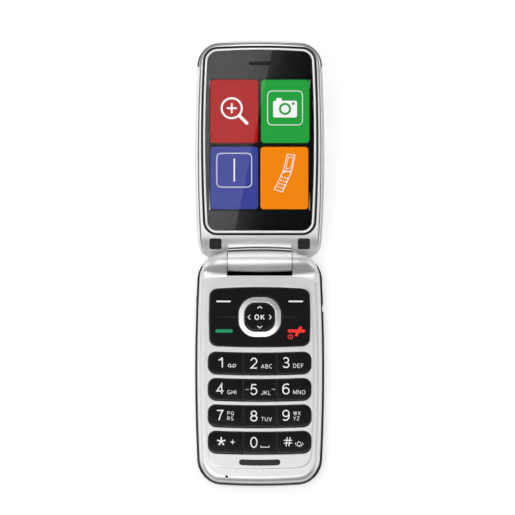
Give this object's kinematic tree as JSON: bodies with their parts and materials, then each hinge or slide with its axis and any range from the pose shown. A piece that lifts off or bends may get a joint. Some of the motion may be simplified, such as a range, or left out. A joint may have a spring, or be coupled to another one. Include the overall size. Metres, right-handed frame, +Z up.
{
  "type": "flip phone",
  "caption": "Flip phone lying open: lower half with number keys, four-way ring and battery cover, and a lid with a framed display on a barrel hinge.",
  "frame": {"origin": "middle of the lower half's footprint, on the back face that it rests on", "axes": "+X across the phone to the right, +Y along the phone towards the hinge and the open lid, +Z up out of the keys"},
  "size_m": [0.0564, 0.1909, 0.0434],
  "materials": {
    "silver_paint": "metallic paint on moulded plastic",
    "dark_plastic": "fine matt moulding",
    "bright_trim": "satin plated",
    "gloss_black": "glossy",
    "black_rubber": "soft matt",
    "display_glass": "polished",
    "display_panel": "lit panel",
    "mesh_metal": "fine mesh",
    "steel": "rolled and turned metal",
    "circuit_board": "solder mask",
    "black_component": "moulded component",
    "light_guide": "frosted clear",
    "silicone": "translucent grey silicone",
    "dome_film": "film with metal domes",
    "battery_wrap": "plain wrap",
    "contact_metal": "gold plated",
    "flex_film": "polyimide film"
  },
  "bodies": {
    "base": {"hinge_shaft": "steel", "hinge_collar": "steel", "base_front_housing": "silver_paint", "base_rear_housing": "dark_plastic", "rest_bumper": "black_rubber", "keypad_mat": "silicone", "dome_sheet": "dome_film", "main_board": "circuit_board", "shield_cans": "steel", "battery": "battery_wrap", "battery_contacts": "contact_metal", "card_holder": "black_component", "usb_connector": "steel", "headphone_jack": "black_component", "loudspeaker": "black_component", "microphone": "black_component", "base_screws": "steel"},
    "lid": {"lid_front_bezel": "silver_paint", "lid_rear_cover": "silver_paint", "lid_side_rails": "bright_trim", "lid_top_cap": "gloss_black", "lens_gasket": "black_rubber", "lens_trim": "bright_trim", "display_lens": "display_glass", "earpiece_mesh": "mesh_metal", "lcd_panel": "display_panel", "lcd_tray": "steel", "lid_board": "circuit_board", "earpiece_speaker": "black_component", "vibration_motor": "steel", "camera_module": "black_component", "camera_lens_cover": "display_glass", "outer_window": "gloss_black", "notification_light": "light_guide", "lid_screws": "steel", "screw_plugs": "black_rubber", "lid_magnet": "steel", "hinge_cartridge": "steel", "hinge_flex_cable": "flex_film"},
    "key_1": {"key_1": "gloss_black"},
    "key_2": {"key_2": "gloss_black"},
    "key_3": {"key_3": "gloss_black"},
    "key_4": {"key_4": "gloss_black"},
    "key_5": {"key_5": "gloss_black"},
    "key_6": {"key_6": "gloss_black"},
    "key_7": {"key_7": "gloss_black"},
    "key_8": {"key_8": "gloss_black"},
    "key_9": {"key_9": "gloss_black"},
    "key_star": {"key_star": "gloss_black"},
    "key_0": {"key_0": "gloss_black"},
    "key_hash": {"key_hash": "gloss_black"},
    "soft_key_left": {"soft_key_left": "gloss_black"},
    "soft_key_right": {"soft_key_right": "gloss_black"},
    "call_key": {"call_key": "gloss_black"},
    "end_key": {"end_key": "gloss_black"},
    "ok_key": {"ok_key": "gloss_black"},
    "battery_cover": {"battery_cover": "dark_plastic"},
    "volume_rocker": {"volume_rocker": "dark_plastic"},
    "nav_rocker": {"nav_rocker_plate": "dark_plastic"},
    "nav_ring": {"nav_ring": "bright_trim"}
  },
  "joints": [
    {"name": "lid_hinge", "type": "hinge", "parent": "base", "child": "lid", "pos_m": [0, 0.0467, 0.011], "axis": [1, 0, 0], "range_deg": [0, 160]},
    {"name": "key_1_press", "type": "slide", "parent": "base", "child": "key_1", "axis": [0, 0, -1], "range_m": [0, 0.0003], "stiffness_N_per_m": 1500},
    {"name": "key_2_press", "type": "slide", "parent": "base", "child": "key_2", "axis": [0, 0, -1], "range_m": [0, 0.0003], "stiffness_N_per_m": 1500},
    {"name": "key_3_press", "type": "slide", "parent": "base", "child": "key_3", "axis": [0, 0, -1], "range_m": [0, 0.0003], "stiffness_N_per_m": 1500},
    {"name": "key_4_press", "type": "slide", "parent": "base", "child": "key_4", "axis": [0, 0, -1], "range_m": [0, 0.0003], "stiffness_N_per_m": 1500},
    {"name": "key_5_press", "type": "slide", "parent": "base", "child": "key_5", "axis": [0, 0, -1], "range_m": [0, 0.0003], "stiffness_N_per_m": 1500},
    {"name": "key_6_press", "type": "slide", "parent": "base", "child": "key_6", "axis": [0, 0, -1], "range_m": [0, 0.0003], "stiffness_N_per_m": 1500},
    {"name": "key_7_press", "type": "slide", "parent": "base", "child": "key_7", "axis": [0, 0, -1], "range_m": [0, 0.0003], "stiffness_N_per_m": 1500},
    {"name": "key_8_press", "type": "slide", "parent": "base", "child": "key_8", "axis": [0, 0, -1], "range_m": [0, 0.0003], "stiffness_N_per_m": 1500},
    {"name": "key_9_press", "type": "slide", "parent": "base", "child": "key_9", "axis": [0, 0, -1], "range_m": [0, 0.0003], "stiffness_N_per_m": 1500},
    {"name": "key_star_press", "type": "slide", "parent": "base", "child": "key_star", "axis": [0, 0, -1], "range_m": [0, 0.0003], "stiffness_N_per_m": 1500},
    {"name": "key_0_press", "type": "slide", "parent": "base", "child": "key_0", "axis": [0, 0, -1], "range_m": [0, 0.0003], "stiffness_N_per_m": 1500},
    {"name": "key_hash_press", "type": "slide", "parent": "base", "child": "key_hash", "axis": [0, 0, -1], "range_m": [0, 0.0003], "stiffness_N_per_m": 1500},
    {"name": "soft_key_left_press", "type": "slide", "parent": "base", "child": "soft_key_left", "axis": [0, 0, -1], "range_m": [0, 0.0003], "stiffness_N_per_m": 1500},
    {"name": "soft_key_right_press", "type": "slide", "parent": "base", "child": "soft_key_right", "axis": [0, 0, -1], "range_m": [0, 0.0003], "stiffness_N_per_m": 1500},
    {"name": "call_key_press", "type": "slide", "parent": "base", "child": "call_key", "axis": [0, 0, -1], "range_m": [0, 0.0003], "stiffness_N_per_m": 1500},
    {"name": "end_key_press", "type": "slide", "parent": "base", "child": "end_key", "axis": [0, 0, -1], "range_m": [0, 0.0003], "stiffness_N_per_m": 1500},
    {"name": "ok_key_press", "type": "slide", "parent": "base", "child": "ok_key", "axis": [0, 0, -1], "range_m": [0, 0.0003], "stiffness_N_per_m": 1500},
    {"name": "ring_up_down", "type": "hinge", "parent": "base", "child": "nav_rocker", "pos_m": [0, 0.02205, 0.0087], "axis": [1, 0, 0], "range_deg": [-1.5, 1.5], "stiffness_Nm_per_rad": 0.05},
    {"name": "ring_left_right", "type": "hinge", "parent": "nav_rocker", "child": "nav_ring", "pos_m": [0, 0.02205, 0.0094], "axis": [0, 1, 0], "range_deg": [-1.5, 1.5], "stiffness_Nm_per_rad": 0.05},
    {"name": "battery_cover_slide", "type": "slide", "parent": "base", "child": "battery_cover", "axis": [0, -1, 0], "range_m": [0, 0.008]},
    {"name": "volume_rock", "type": "hinge", "parent": "base", "child": "volume_rocker", "pos_m": [-0.0265, 0.026, 0.0037], "axis": [0, 0, 1], "range_deg": [-2, 2], "stiffness_Nm_per_rad": 0.05}
  ]
}
